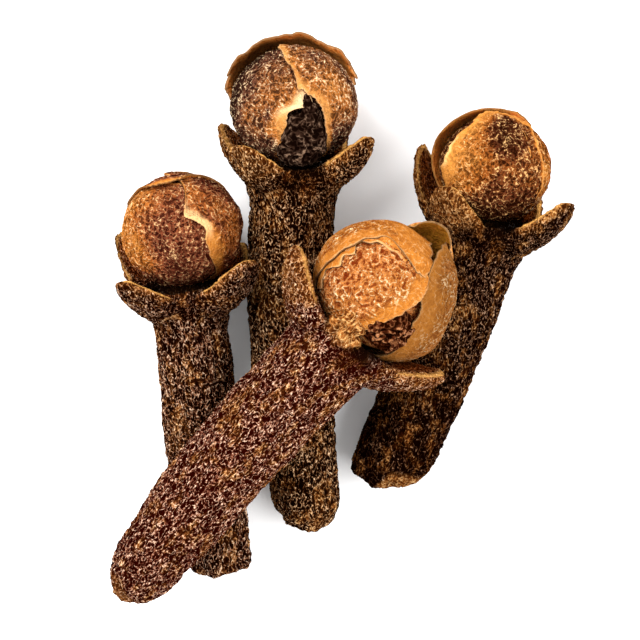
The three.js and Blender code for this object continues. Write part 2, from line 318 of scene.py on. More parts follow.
def sepal_surface(sepal):
    """A thick flap whose middle line is an arc that leaves the cup and turns up towards the bud.

    It is a ball stretched along the arc: a station's slope goes from out to tip, the flap narrows towards
    its tip and curls round the bud, and a fullness keeps it broad almost to its ends.
    """
    rows, columns = 48, 56
    share, turn = grid(rows, columns, wrapped=True)
    level = -np.cos(np.pi * share)
    ring = np.sqrt(np.maximum(0, 1 - level**2))
    fullness = np.where(ring > 1e-6, np.maximum(ring, 1e-6) ** -0.35, 0) * ring
    along = (1 + level) / 2
    start = np.radians(sepal["out"])
    bend = np.radians(sepal["tip"]) - start
    slope = start + bend * along
    out = SEPAL["foot"] + sepal["length"] * (np.sin(slope) - np.sin(start)) / bend
    up = -SEPAL["below"] + sepal["length"] * (np.cos(start) - np.cos(slope)) / bend
    turn = turn * 2 * np.pi
    across = np.sin(turn) * fullness * sepal["width"] * (1 - SEPAL["taper"] * along)
    hollow = SEPAL["hollow"] * across**2 / (2 * np.maximum(out, CUP["radius"]))
    through = -np.cos(turn) * fullness * sepal["thick"] * (1 - 0.3 * along) + hollow
    at = np.radians(sepal["at"])
    flat = out - through * np.sin(slope)
    x = flat * np.cos(at) - across * np.sin(at)
    y = flat * np.sin(at) + across * np.cos(at)
    return np.stack([x, y, up + through * np.cos(slope)], -1), grid_faces(rows, columns, wrapped=True)


def sepal_places(points, sepal):
    """Where points are on a sepal: how far along, across from -1 to 1, and through, 1 on its inner face.

    The sepal's middle line is an arc round a fixed centre, so the direction from that centre gives the
    slope, and the distance from it gives the depth in the flap.
    """
    at, start = np.radians([sepal["at"], sepal["out"]])
    bend = np.radians(sepal["tip"]) - start
    reach = sepal["length"] / bend
    out = points[:, 0] * np.cos(at) + points[:, 1] * np.sin(at) - SEPAL["foot"] + reach * np.sin(start)
    up = points[:, 2] + SEPAL["below"] - reach * np.cos(start)
    across = points[:, 1] * np.cos(at) - points[:, 0] * np.sin(at)
    slope = np.arctan2(out, -up)
    along = (slope - start) / bend
    middle = SEPAL["foot"] + reach * (np.sin(slope) - np.sin(start))
    hollow = SEPAL["hollow"] * across**2 / (2 * np.maximum(middle, CUP["radius"]))
    through = (reach - np.hypot(out, up) - hollow) / (sepal["thick"] * (1 - 0.3 * np.clip(along, 0, 1)))
    return along, across / (sepal["width"] * (1 - SEPAL["taper"] * np.clip(along, 0, 1))), through


def clear_of_bud(points, bud, room):
    """Moves what would lie in the bud head out to its surface, with that much room."""
    middle = np.array([0, 0, bud["centre"]])
    sizes = np.array([bud["radius"], bud["radius"], bud["height"]]) + room
    level = np.linalg.norm((points - middle) / sizes, axis=1)
    return middle + (points - middle) / np.clip(level, 1e-6, 1)[:, None]


def srgb(red, green, blue):
    """A colour given as 0 to 255 on a screen, as the shader's own linear colour."""
    share = np.array([red, green, blue]) / 255
    linear = np.where(share <= 0.04045, share / 12.92, ((share + 0.055) / 1.055) ** 2.4)
    return (*linear.tolist(), 1)


class Wire:
    """An output in a finish's node tree. Arithmetic on wires and numbers adds Math nodes."""

    def __init__(self, tree, socket=None):
        self.tree, self.socket = tree, socket

    def node(self, kind, settings=None, values=None, output=0):
        """Adds a node: its settings first, then its sockets' values or wires. Gives one of its outputs."""
        made = self.tree.nodes.new(kind)
        for name, setting in (settings or {}).items():
            if name == "stops":
                ramp = made.color_ramp
                while len(ramp.elements) < len(setting):
                    ramp.elements.new(1)
                for element, (place, colour) in zip(ramp.elements, setting):
                    element.position, element.color = place, colour
            else:
                setattr(made, name, setting)
        for name, value in (values or {}).items():
            if isinstance(value, Wire):
                self.tree.links.new(value.socket, made.inputs[name])
            else:
                made.inputs[name].default_value = value
        return Wire(self.tree, made.outputs[output] if made.outputs else None)

    def math(self, operation, one, other):
        return self.node("ShaderNodeMath", {"operation": operation}, {0: one, 1: other})

    def __add__(self, other):
        return self.math("ADD", self, other)

    def __sub__(self, other):
        return self.math("SUBTRACT", self, other)

    def __rsub__(self, other):
        return self.math("SUBTRACT", other, self)

    def __mul__(self, other):
        return self.math("MULTIPLY", self, other)

    __radd__ = __add__
    __rmul__ = __mul__

    def mixed(self, share, other):
        """This colour, turning into another one as share goes from 0 to 1."""
        kind = {"data_type": "RGBA", "clamp_factor": True}
        return self.node("ShaderNodeMix", kind, {0: share, 6: self, 7: other}, output=2)

    def ramp(self, *stops):
        return self.node("ShaderNodeValToRGB", {"stops": stops}, {0: self})

    def marked(self, name, output=2):
        """A vertex attribute: output 2 is its number and 1 its vector."""
        return self.node("ShaderNodeAttribute", {"attribute_name": name}, output=output)

    def speckle(self, where, scale, detail, roughness, twist=0.0):
        """Fine noise from 0 to 1 at that scale, in specks to the millimetre."""
        sizes = {"Scale": scale, "Detail": detail, "Roughness": roughness, "Distortion": twist}
        return self.node("ShaderNodeTexNoise", {}, {"Vector": where} | sizes)

    def crests(self, where, scale):
        """Short winding ridges: 1 where bent noise crosses its middle, sloping down to a flat floor."""
        field = self.speckle(where, scale, 0.6, 0.5, 0.5) - 0.5
        return 1 - self.math("MINIMUM", self.math("ABSOLUTE", field, 0), 0.18) * 8

    def beads(self, where, scale):
        """Small rounded bumps: about 0 between them and 1 on top."""
        return (self.speckle(where, scale, 1.0, 0.5, 0.4) - 0.5) * 2.6 + 0.5


def new_finish(name, skin, roughness):
    """A dry plant skin with a little oil on its crests.

    skin gives the colour, the bump height in millimetres and how oily it is, each worked out from the
    piece's own marks.
    """
    finish = bpy.data.materials.new(name)
    finish.use_nodes = True
    tree = finish.node_tree
    tree.nodes.clear()
    pen = Wire(tree)
    colour, height, oil = skin(pen)
    shader = pen.node(
        "ShaderNodeBsdfPrincipled",
        {},
        {
            "Base Color": colour,
            "Roughness": roughness,
            "Normal": pen.node("ShaderNodeBump", {}, {"Height": height, "Strength": 1.0, "Distance": MM}),
            "Specular IOR Level": 0.0,
            "Coat Weight": oil,
            "Coat Roughness": 0.28,
            "Coat IOR": 1.45,
        },
    )
    pen.node("ShaderNodeOutputMaterial", {}, {"Surface": shader})
    return finish


# Skin colours of each stem: in the valleys, half way, on the ridges and on their tips. The valley colour is
# partly painted shade in the creases, and the tip colour is partly a painted highlight.
STEM_SKINS = {
    "left": (srgb(14, 2, 0), srgb(72, 38, 24), srgb(132, 88, 60), srgb(220, 190, 160)),
    "top": (srgb(11, 2, 0), srgb(62, 32, 16), srgb(128, 88, 54), srgb(224, 186, 144)),
    "right": (srgb(8, 1, 0), srgb(38, 18, 9), srgb(80, 50, 30), srgb(168, 130, 98)),
    "front": (srgb(32, 2, 0), srgb(82, 40, 28), srgb(138, 88, 64), srgb(230, 196, 168)),
}


def stem_finish(clove):
    """Wrinkled skin: fine crests over the modelled wrinkles pick a colour between valley and tip, partly
    painted shade in the creases and partly painted highlights on the tops. Patches of it are amber, the
    sepals' rims and inner faces go golden and red-brown, and painted shade darkens the floor of the cup under
    the bud."""
    valley, middle, ridge, tip = STEM_SKINS[clove]

    def skin(pen):
        own = pen.marked("own", output=1)
        grain = pen.speckle(own, 13, 2.0, 0.6)
        crest = pen.crests(own, 7.4) * 0.6 + pen.crests(own, 12.5) * 0.4
        patches = pen.speckle(own, 0.9, 2.0, 0.5)
        tone = crest * 0.6 + pen.beads(own, 7.5) * 0.12 + pen.marked("ridge") * 0.11 + (grain - 0.5) * 0.4
        tone += (patches - 0.5) * 0.1
        # Painted light: the near-black valley colour stands partly for shade in the creases, and the pale tip
        # colour partly for highlights on the wrinkle tops.
        colour = tone.ramp((0.23, valley), (0.38, middle), (0.53, ridge), (0.7, tip))
        amber = pen.speckle(own, 1.7, 3.0, 0.65)
        amber_share = amber.ramp((0.5, (0, 0, 0, 1)), (0.66, (1, 1, 1, 1))) * 0.65
        amber_skin = tone.ramp((0.1, srgb(50, 18, 4)), (0.4, srgb(140, 82, 34)), (0.8, srgb(232, 182, 106)))
        colour = colour.mixed(amber_share, amber_skin)
        tanned = tone.ramp((0.05, srgb(84, 40, 12)), (0.35, srgb(160, 98, 44)), (0.8, srgb(232, 188, 122)))
        colour = colour.mixed(pen.marked("tan"), tanned)
        ochre = tone.ramp((0.1, srgb(66, 26, 4)), (0.4, srgb(160, 96, 40)), (0.75, srgb(228, 168, 96)))
        colour = colour.mixed(pen.marked("margin") * 0.5, ochre)
        inside = tone.ramp((0.1, srgb(44, 12, 2)), (0.5, srgb(116, 52, 14)), (0.85, srgb(184, 110, 46)))
        colour = colour.mixed(pen.marked("inside"), inside)
        rim = (grain + 0.1).ramp((0.35, srgb(140, 76, 24)), (0.65, srgb(232, 172, 92)))
        colour = colour.mixed(pen.marked("rim"), rim)
        # Painted shade: the floor of the cup under the bud, where its shadow falls, goes nearly black.
        colour = colour.mixed(pen.marked("in_cup") * 0.95, srgb(14, 5, 2))
        return colour, crest * 0.07 + grain * 0.02, (tone - 0.5) * 1.5

    return new_finish(f"{clove} stem skin", skin, 0.6)


# The relief of a stem's skin, in millimetres: roughly how far apart its wrinkles are, and then how high
# the wrinkles, the broad lumps, the lengthwise furrows, the grain, the ragged foot and a crumbled sepal are.
STEM_RELIEF = {
    "pitch": 0.25, "wrinkle": 0.065, "lump": 0.07, "furrow": 0.05, "grain": 0.012, "foot": 0.16,
    "crumbled": 0.28,
}


def sepal_marks(points, sepal):
    """How far points are a sepal's rim, its margin, its inner face, bare tan skin, and crumbled."""
    along, across, through = sepal_places(points, sepal)
    gilt = sepal.get("gilt", 1)
    on_sepal = step_up(0.3, 0.5, along) * step_up(1.35, 1.15, np.abs(through))
    on_sepal *= step_up(1.3, 1.1, np.abs(across))
    edge = np.hypot(across, np.clip(2 * along - 1, 0, 1)) * on_sepal
    rim = step_up(0.86, 0.98, edge) * step_up(0.05, 0.25, through) * step_up(0.72, 0.52, through) * gilt
    margin = step_up(-0.75, 0.1, through) * step_up(0.5, 0.95, edge) * gilt
    inside = on_sepal * step_up(0.5, 0.8, through) * min(1, 0.2 + gilt)
    tan = on_sepal * step_up(0.3, 0.65, along) * sepal.get("tan", 0)
    crumbled = step_up(0.05, 0.35, along) * on_sepal**0.3 * sepal.get("crumbled", 0)
    return rim, margin, inside, tan, crumbled


def dress_stem(clove):
    """A stem with its sepals, as one skin with lumps, furrows and wrinkles pushed into it."""
    stem, bud, sepals = STEMS[clove], BUDS[clove], SEPALS[clove]
    seed = 100 * list(CLOVES).index(clove)
    mesh = one_skin([stem_surface(stem, bud)] + [sepal_surface(sepal) for sepal in sepals])
    relax(mesh, 3)
    own = vertex_rows(mesh, "co")
    outwards = vertex_rows(mesh, "normal")
    rim, margin, inside, tan, crumbled = np.max([sepal_marks(own, sepal) for sepal in sepals], axis=0)
    near_axis = np.hypot(own[:, 0], own[:, 1])
    # in_cup marks the floor of the cup round the bud, which the finish paints nearly black as painted shade.
    in_cup = step_up(-0.3, 0, own[:, 2]) * step_up(1.85, 1.65, near_axis) * (1 - rim) * (1 - tan)
    foot = step_up(-stem["length"] + 1.1, -stem["length"] + 0.2, own[:, 2])
    bare = step_up(-0.1, 0.25, noise(own * 1.1, seed + 50)) * step_up(0.3, 0.8, foot)
    tan = np.maximum(tan, bare * stem["cut"])

    relief = STEM_RELIEF
    lumps = relief["lump"] * noise(own * 0.55, seed + 1)
    lumps += relief["furrow"] * noise(own * (1.1, 1.1, 0.35), seed + 2)
    worms = wrinkles(own, relief["pitch"], 1.6, seed + 10)
    smooth = np.maximum(inside, 0.7 * rim)
    grain = noise(own * 6.5, seed + 20)
    height = lumps + relief["wrinkle"] * worms * (1 - 0.8 * smooth) + relief["grain"] * grain - 0.04
    ragged = foot * relief["foot"] * noise(own * 1.8, seed + 30)
    height += ragged + crumbled * relief["crumbled"] * noise(own * 3.4, seed + 40)
    skinned = clear_of_bud(own + outwards * height[:, None], bud, 0.03)
    put_places(mesh, into_heap(skinned, clove))

    # Painted shade: the skin is darkened towards the foot, where a neighbouring clove's shadow falls, and in
    # a patch at the cup's throat under the bud; the ridge mark carries it into the finish.
    dark = stem["foot_shade"] * step_up(-0.35 * stem["length"], -0.8 * stem["length"], own[:, 2])
    throat = np.radians(stem["throat"])
    throat_shade_middle = (1.75 * np.cos(throat), 1.75 * np.sin(throat), -0.15)
    from_throat = np.linalg.norm((own - throat_shade_middle) / (1, 1, 0.8), axis=1)
    dark += stem["throat_shade"] * step_up(1.25, 0.35, from_throat + 0.2 * lumps / relief["lump"])
    mark(mesh, "own", own * (1, 1, 0.7))  # draws the finish out along the stem
    mark(mesh, "ridge", 0.15 + 0.75 * worms + 0.18 * grain - dark * (1 - tan))
    mark(mesh, "rim", rim)
    mark(mesh, "inside", inside)
    mark(mesh, "tan", tan)
    mark(mesh, "margin", margin)
    mark(mesh, "in_cup", in_cup)
    mesh.materials.clear()
    mesh.materials.append(stem_finish(clove))
    piece = bpy.data.objects.new(f"{clove}_skin", mesh)
    bpy.context.scene.collection.objects.link(piece)
    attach(piece, "root")
    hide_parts(f"{clove}_stem")


for clove in CLOVES:
    dress_stem(clove)

# ---------------------------------------------------------------------------------------------------
# Bud heads. Papery petals are folded over each other into a ball, round a dark core. Where a petal lies
# open it is brown and wrinkled, and where it was covered or frayed, along its margins, it is smooth and
# golden.
# ---------------------------------------------------------------------------------------------------

# A petal's middle line is an arc over the bud from its foot to its tip, where 0 is the bud's waist and 90
# its top. Left and right are as seen from outside, and a longer row holds values at even stations from
# foot to tip. For each petal,
#   at is the compass angle of the middle line
#   left and right are how far the petal reaches to either side of it, in degrees
#   off_left and off_right are how far the two edges stand off the bud
#   gilt is the width of the smooth golden margin at the left, the right and the tip
#   dusk is how much darker the left, the right and the foot are, or below 0 how much more golden; a darker
#   foot is painted shade where the bud sits in the cup
#   frayed is the width of the bleached strip half way up the left and the right margin
#   pitch is roughly how far apart the modelled wrinkles are, on a petal that has the finer mesh
#   bold is how strongly the wrinkles show, and jagged how ragged the edges are
#   peak is how far the middle of the tip stands off
#   blot is where a dark blot lies, as shares of the way from foot to tip and from left to right
#   shade is how much darker the petal is all over, and deep how much darker its inner face is painted away
#   from the edges, as painted shade where it lies over the bud
PETALS = {
    "left": (
        {"at": -28, "foot": -76, "tip": 72,
         "left": (34, 58, 66, 64, 50), "right": (60, 70, 66, 60, 50),
         "off_left": (0.04, 0.04), "off_right": (0, 0),
         "gilt": (0.1, 0.1, 0.1), "dusk": (-1.1, 0.2, 0.5), "pitch": 0.42},
        {"at": 178, "foot": -62, "tip": 118,
         "left": (34, 56, 62, 50, 10), "right": (34, 58, 64, 58, 30),
         "off_left": (0.04, 0.08, 0.2), "off_right": (0.04, 0.08, 0.2),
         "gilt": (0.3, 0.3, 0.35), "dusk": (0.3, 0.3, 0.3), "jagged": 0.6},
        {"at": 76, "foot": -72, "tip": 100,
         "left": (0, 18, 44, 51, 52, 59, 59, 32, 12), "right": (20, 46, 54, 56, 52, 40, 14),
         "off_left": (0, 0.05, 0.08, 0.08, 0.14), "off_right": (0.1, 0.14, 0.2),
         "gilt": ((0.6, 0.6, 0.6, 0.4, 0.1, 0.1, 0.1), 0.15, 0.1), "dusk": (-0.5, 0.9, 0.4),
         "frayed": (0.3, 0), "pitch": 0.42, "jagged": 0.5},
    ),
    "top": (
        {"at": -178, "foot": -58, "tip": 88,
         "left": (34, 60, 68, 66, 54), "right": (34, 60, 68, 66, 54),
         "off_left": (0.06, 0.1, 0.2, 0.45, 0.5), "off_right": (0.06, 0.1, 0.12, 0.4, 0.5),
         "gilt": (0.3, 0.3, 0.6), "dusk": (0, 0, 0), "jagged": 1.6, "deep": 0.7},
        {"at": -62, "foot": -70, "tip": 90,
         "left": (30, 54, 60, 60, 56, 50, 40),
         "right": (22, 40, 52, 55, 56, 61, 77, 80, 80, 78, 75, 69, 62),
         "off_left": (0.03, 0.03), "off_right": (0.03, 0),
         "gilt": (0.1, 0.7, 0.1), "dusk": (1.7, -0.4, 0.5),
         "frayed": (0, 0.55), "pitch": 0.42, "jagged": 0.5},
        {"at": 86, "foot": -66, "tip": 98,
         "left": (6, 40, 54, 61, 66, 66, 44), "right": (20, 46, 54, 56, 54, 46, 30),
         "off_left": (0.04, 0.08, 0.1, 0.1, 0.1), "off_right": (0.2, 0.3, 0.3, 0.2, 0.15),
         "gilt": (0.45, 0.15, 0.3), "dusk": (-0.7, -0.2, 0.6), "pitch": 0.42},
    ),
    "right": (
        {"at": -146, "foot": -58, "tip": 88,
         "left": (40, 66, 72, 68, 50), "right": (30, 46, 50, 48, 24),
         "off_left": (0, 0.1, 0.16), "off_right": (0.1, 0.25, 0.32, 0.3, 0.25),
         "gilt": (0.3, 0.6, 0.6), "dusk": (0, 0, 0), "jagged": 0.4},
        {"at": -88, "foot": -62, "tip": 66,
         "left": (30, 48, 54, 52, 40), "right": (30, 48, 54, 52, 40),
         "off_left": (0.04, 0.04), "off_right": (-0.12, -0.12),
         "gilt": (0.1, 0.1, 0.1), "dusk": (1, 1, 1)},
        {"at": 96, "foot": -68, "tip": 84,
         "left": (30, 48, 54, 52, 30), "right": (26, 46, 50, 46, 26),
         "off_left": (0, 0), "off_right": (0.05, 0.06, 0.06),
         "gilt": (0.5, 0.3, 0.3), "dusk": (-0.9, -0.9, 0.3)},
        {"at": 4, "foot": -74, "tip": 86,
         "left": (52, 70, 63, 53, 30), "right": (44, 52, 52, 40, 26),
         "off_left": (0.02, 0.14, 0.14), "off_right": (0.05, 0.06, 0.05),
         "gilt": (0.75, 0.12, 0.3), "dusk": (-1.5, -0.2, 0.7),
         "frayed": (0.14, 0), "pitch": 0.42, "jagged": 1.1, "blot": (0.76, 0.6)},
    ),
    "front": (
        {"at": 178, "foot": -64, "tip": 92,
         "left": (34, 54, 60, 40, 17), "right": (34, 54, 60, 36, 15),
         "off_left": (0.05, 0.05, 0.1, 0.3, 0.6), "off_right": (0.05, 0.05, 0.05, 0.15, 0.35),
         "gilt": (0.8, 0.8, 0.8), "dusk": (0, 0, 0), "jagged": 0.6, "peak": 0.5},
        {"at": -12, "foot": -78, "tip": 82,
         "left": (60, 66, 66, 60, 54, 44, 36), "right": (-24, 6, 25, 35, 39, 30, 12),
         "off_left": (0, 0), "off_right": (0, 0.08, 0.1, 0.08, 0),
         "gilt": (0.1, 0.6, 0.1), "dusk": (0.45, -0.4, -0.3), "pitch": 0.36, "bold": 1.3, "shade": 0.14},
        {"at": -60, "foot": -58, "tip": 94,
         "left": (30, 60, 70, 72, 70, 60, 50), "right": (-24, -17, 1, 8, 11, 46, 52),
         "off_left": (0.4, 0.5, 0.45, 0.45, 0.35), "off_right": (0.12, 0.12, 0.14, 0.1, 0.06),
         "gilt": (2, 0.5, 2), "dusk": (-1, -1, -1), "jagged": 1.5, "shade": 0.12},
        {"at": -60, "foot": -48, "tip": 66,
         "left": (20, 20), "right": (-14, 2, 12, 16, 40),
         "off_left": (0, 0), "off_right": (0.04, 0.07, 0.06, 0.05, 0.02),
         "gilt": (2, 2, 2), "dusk": (0, 0, 0), "jagged": 2.2},
        {"at": 100, "foot": -76, "tip": 81,
         "left": (4, 20, 49, 61, 62, 62, 62, 46), "right": (12, 26, 36, 42, 45, 46, 44, 14),
         "off_left": (0, 0.05, 0.06, 0.06, 0.05, 0.05, 0.06, 0.1),
         "off_right": (0.05, 0.3, 0.45, 0.5, 0.3, 0.45, 0.7, 0.75),
         "gilt": (1, 0.5, 0.5), "dusk": (-0.7, -0.7, -0.7), "bold": 0.6, "shade": 0.6},
    ),
}
# curl is how far a petal's edges lift, and core how deep the dark core lies under the bud's surface. Then
# come the heights of its dents, its grain and, as a share of their pitch, its wrinkles.
PETAL = {"thick": 0.11, "curl": 0.05, "core": 0.24, "dent": 0.05, "grain": 0.01, "wrinkle": 0.17}


def between(stations, share):
    """Values at even stations from 0 to 1, joined by a smooth curve through them all."""
    values = np.asarray(stations, float)
    last = len(values) - 1
    spot = np.clip(share, 0, 1) * last
    at = np.minimum(spot.astype(int), last - 1)
    part = spot - at
    before, start, end, after = (values[np.clip(at + shift, 0, last)] for shift in (-1, 0, 1, 2))
    leaving = (end - before) / 2 * (part**3 - 2 * part**2 + part)
    arriving = (after - start) / 2 * (part**3 - part**2)
    return start + (end - start) * (3 * part**2 - 2 * part**3) + leaving + arriving


def bud_reach(bud, direction):
    """How far the ball's surface is from its middle, in a direction: it is an ellipsoid."""
    level = np.hypot(direction[:, 0], direction[:, 1]) / bud["radius"]
    return 1 / np.hypot(level, direction[:, 2] / bud["height"])


def petal_directions(petal, share, side, tip_wave, seed):
    """Directions from the bud's middle to a petal's points: over the bud along the middle line, then
    across to the side, further where the ragged edge sticks out."""
    left, right = between(petal["left"], share), between(petal["right"], share)
    rounding = 1 - 0.06 * (2 * side - 1) ** 2 * step_up(0.5, 1, share)
    over = np.radians(petal["foot"] + (petal["tip"] - petal["foot"]) * share * rounding + tip_wave)
    beside = 0 * share + seed
    coarse = petal.get("jagged", 0.25) * 7 * noise(np.stack([share * 9, side * 2, beside], -1), seed)
    fine = 1.4 * noise(np.stack([share * 30, side * 2, beside], -1), seed + 1)
    across = np.radians(-left + (left + right) * side + (coarse + fine) * np.abs(2 * side - 1) ** 3)
    at = np.radians(petal["at"])
    out, sideways = np.cos(across) * np.cos(over), np.sin(across)
    x, y = out * np.cos(at) - sideways * np.sin(at), out * np.sin(at) + sideways * np.cos(at)
    return np.stack([x, y, np.cos(across) * np.sin(over)], -1)


def petal_colours(petal, share, side, own, edges, seed):
    """How golden, dark and bleached a petal is at its points, and how much darker its inner face is there; a
    darker foot and a darker inner face are painted shade.

    edges holds the distances to the left edge, the right edge and the tip. The border of every margin
    strays by a noise.
    """
    stray = 0.25 * noise(own * 1.3, seed + 5) + 0.1 * noise(own * 4, seed + 6)
    gilt = np.zeros(len(own))
    for distance, width in zip(edges, petal["gilt"]):
        width = between(width, share) if np.ndim(width) else width
        strayed = distance + stray * np.minimum(1, 2 * width)
        gilt = np.maximum(gilt, step_up(width * 1.25, width * 0.45, strayed))
    to_edge = np.min(edges, axis=0)
    rim = 0.3 * step_up(0.06, 0.01, to_edge)
    for distance, width in zip(edges, petal.get("frayed", ())):
        if width:
            pale = step_up(width * 1.3, width * 0.5, distance + 0.6 * stray)
            rim = np.maximum(rim, pale * step_up(0.35, 0.5, share) * step_up(0.85, 0.7, share))
    dusk_left, dusk_right, dusk_low = petal["dusk"]
    dusk = dusk_left * step_up(0.6, 0.2, side) + dusk_right * step_up(0.4, 0.75, side)
    # Painted shade: towards the foot, where the bud sits in the cup, a dusk_low above 0 darkens the petal.
    dusk += (dusk_low - dusk) * step_up(0.4, 0.1, share) + 0.45 * noise(own * 0.8, seed + 7)
    if "blot" in petal:
        blot_up, blot_over = petal["blot"]
        dusk += 0.9 * step_up(0.26, 0.1, np.hypot(share - blot_up, side - blot_over))
    # Painted shade: deep darkens the inner face away from its edges, where it lies in shadow over the bud.
    deep = petal.get("deep", 0) * step_up(0.1, 0.5, to_edge + 0.4 * stray)
    return gilt, np.clip(dusk, -1, 1) * (1 - gilt), rim, deep


def shell_faces(rows, columns):
    """Quads of a thin closed shell: a grid, the same one again below it, and a wall along the border."""
    count = rows * columns
    faces = grid_faces(rows, columns)
    numbers = np.arange(count).reshape(rows, columns)
    border = np.concatenate([numbers[0, :-1], numbers[:-1, -1], numbers[-1, :0:-1], numbers[:0:-1, 0]])
    following = np.roll(border, -1)
    wall = np.stack([border, border + count, following + count, following], -1)
    return np.concatenate([faces, faces[:, ::-1] + count, wall])


def petal_shell(bud, petal, seed):
    """A petal as a thin closed shell over the ball, with its marks.

    A grid runs from foot to tip and from left to right edge. A point's distance from the bud's middle is
    the ball's, plus how far the petal stands off there, plus wrinkles. The inner face lies a petal's
    thickness below.
    """
    rows, columns = (104, 84) if "pitch" in petal else (60, 48)
    share, side = grid(rows, columns)
    jagged = petal.get("jagged", 0)
    beside = 0 * share + 0.5
    tip_wave = noise(np.stack([side * 12, beside, beside], -1), seed + 2)
    tip_wave *= step_up(0.6, 1, share) * (2 + 4 * jagged)
    direction = petal_directions(petal, share, side, tip_wave, seed)
    reach = bud_reach(bud, direction)
    own = direction * reach[:, None]
    span = np.radians(between(petal["left"], share) + between(petal["right"], share)) * reach
    to_tip = (1 - share) * np.radians(petal["tip"] - petal["foot"]) * reach
    edges = side * span, (1 - side) * span, to_tip
    to_edge = np.min(edges, axis=0)
    gilt, dusk, rim, deep = petal_colours(petal, share, side, own, edges, seed)

    stand = between(petal["off_left"], share) * (1 - side) + between(petal["off_right"], share) * side
    stand += petal.get("peak", 0) * 4 * side * (1 - side) * step_up(0.6, 1, share)
    stand += 0.009 * jagged * tip_wave
    pitch = petal.get("pitch", 0.3)
    worms = wrinkles(own, pitch, 1.3, seed + 10)
    grain = noise(own * 6.5, seed + 20)
    dents = PETAL["dent"] * noise(own * 0.9, seed + 30)
    curl = PETAL["curl"] * step_up(0.3, 0, to_edge) ** 2 * step_up(0.2, 0.5, share)
    raised = PETAL["wrinkle"] * pitch * (worms - 0.3) * (1 - 0.82 * gilt)
    height = stand + dents + raised + PETAL["grain"] * grain + curl
    thick = PETAL["thick"] * (0.55 + 0.45 * step_up(0, 0.5, to_edge))
    outer = direction * (reach + height)[:, None]
    inner = direction * (reach + height - thick)[:, None]

    lines = 0.4 + petal.get("bold", 1.0) * (0.7 * worms - 0.3)
    none, full = np.zeros(len(own)), np.ones(len(own))
    marks = {
        "gilt": np.concatenate([gilt, full]),
        "dusk": np.concatenate([dusk, none]),
        "ridge": np.concatenate([lines, 0.4 + 0.2 * grain]),
        "rim": np.concatenate([rim, rim]),
        "inside": np.concatenate([none, full]),
        # The shade mark holds how much darker the whole petal is, and on the inner face also the painted
        # shade from deep.
        "shade": petal.get("shade", 0) + np.concatenate([none, deep]),
        "own": np.concatenate([own, own + 20]),
    }
    points = np.concatenate([outer, inner]) + (0, 0, bud["centre"])
    return points, shell_faces(rows, columns), marks


def ball(rows, columns):
    """Points of a ball of radius 1, from its bottom to its top, and the angle of each round it."""
    share, turn = grid(rows, columns, wrapped=True)
    level, turn = -np.cos(np.pi * share), turn * 2 * np.pi
    ring = np.sqrt(np.maximum(0, 1 - level**2))
    return np.stack([ring * np.cos(turn), ring * np.sin(turn), level], -1), turn


def core_ball(bud):
    """The dark inside of the head: the ball's own shape, a little smaller."""
    rows, columns = 40, 64
    sizes = np.array([bud["radius"], bud["radius"], bud["height"]]) - PETAL["core"]
    points = ball(rows, columns)[0] * sizes
    marks = {name: np.zeros(len(points)) for name in ("gilt", "dusk", "ridge", "rim", "inside", "shade")}
    marks["own"] = points
    return points + (0, 0, bud["centre"]), grid_faces(rows, columns, wrapped=True), marks


# Petal colours of each bud: between the wrinkles, on the wrinkled skin, where it turns amber, on the bare
# golden margins, along the tops of the wrinkles, and on the inner face. The colour between the wrinkles also
# serves as painted shade in their valleys, and the colour along their tops is partly a painted highlight. A
# shaded petal turns towards SHADED.
PETAL_SKINS = {
    "left": (
        srgb(44, 12, 6), srgb(122, 64, 40), srgb(164, 92, 36), srgb(184, 118, 48),
        srgb(228, 180, 124), srgb(176, 98, 36),
    ),
    "top": (
        srgb(32, 16, 10), srgb(98, 58, 40), srgb(168, 100, 44), srgb(188, 130, 68),
        srgb(240, 204, 156), srgb(196, 110, 44),
    ),
    # The right bud's inner face colour is brightened as painted light, for light that shines through its thin
    # hood.
    "right": (
        srgb(30, 8, 2), srgb(92, 46, 24), srgb(150, 82, 30), srgb(196, 128, 56),
        srgb(232, 178, 112), srgb(250, 150, 66),
    ),
    "front": (
        srgb(104, 28, 4), srgb(194, 118, 58), srgb(170, 102, 42), srgb(182, 112, 42),
        srgb(252, 220, 170), srgb(146, 98, 26),
    ),
}
SHADED = srgb(92, 60, 26)


